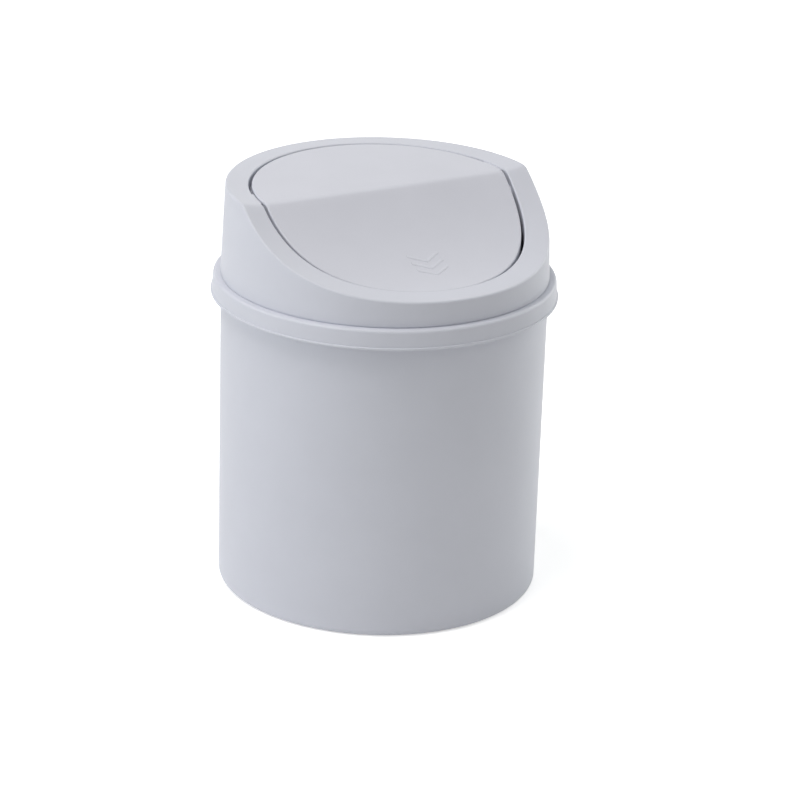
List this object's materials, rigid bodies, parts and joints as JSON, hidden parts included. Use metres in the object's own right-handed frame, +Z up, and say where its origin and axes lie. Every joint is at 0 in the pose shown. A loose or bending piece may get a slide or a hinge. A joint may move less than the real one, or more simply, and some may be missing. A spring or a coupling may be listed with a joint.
{
  "type": "push top countertop bin",
  "caption": "Round countertop bin with a lift-off domed lid whose scooped round flap swings inward when pushed and falls shut by its own weight.",
  "frame": {"origin": "centre of the base, on the surface that the bin stands on", "axes": "+Z up along the bin's axis, -Y towards the low front edge of the lid, +X towards the bin's own left pivot as seen from behind"},
  "size_m": [0.1412, 0.1412, 0.1702],
  "materials": {
    "bucket_plastic": "fine satin moulded polypropylene, cool light grey",
    "lid_plastic": "fine satin moulded polypropylene, cool light grey",
    "flap_plastic": "fine satin moulded polypropylene, cool light grey",
    "pin_plastic": "plain natural acetal"
  },
  "bodies": {
    "bucket": {"bucket": "bucket_plastic"},
    "lid": {"lid_housing": "lid_plastic"},
    "flap": {"push_flap": "flap_plastic", "pivot_pin_left": "pin_plastic", "pivot_pin_right": "pin_plastic"}
  },
  "joints": [
    {"name": "lid_lift", "type": "slide", "parent": "bucket", "child": "lid", "axis": [0, 0, 1], "range_m": [0, 0.06]},
    {"name": "flap_swing", "type": "hinge", "parent": "lid", "child": "flap", "pos_m": [0, -0.0025, 0.15977], "axis": [1, 0, 0], "range_deg": [0, 62]}
  ]
}
